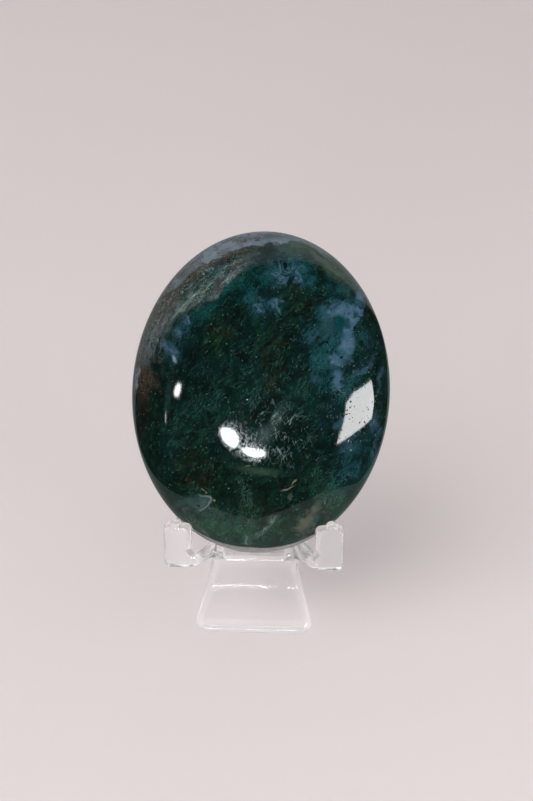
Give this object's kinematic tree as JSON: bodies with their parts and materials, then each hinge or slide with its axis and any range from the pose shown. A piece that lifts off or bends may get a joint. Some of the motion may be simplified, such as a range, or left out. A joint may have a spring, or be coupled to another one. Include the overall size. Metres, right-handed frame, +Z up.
{
  "type": "moss agate palm stone on a display stand",
  "caption": "Polished oval moss agate palm stone leaning back in a small clear moulded display stand with a seat, front hooks and a back rest.",
  "frame": {"origin": "middle of the underside of the whole object's box, on the surface that the stand's feet stand on", "axes": "+Z up, +Y towards the back, which the stone leans to, and +X to the right as seen from the front"},
  "size_m": [0.0562, 0.0412, 0.0809],
  "materials": {
    "clear_plastic": "clear moulded plastic, glossy",
    "agate": "polished, glassy"
  },
  "bodies": {
    "root": {"display_stand": "clear_plastic", "moss_agate": "agate"}
  },
  "joints": []
}
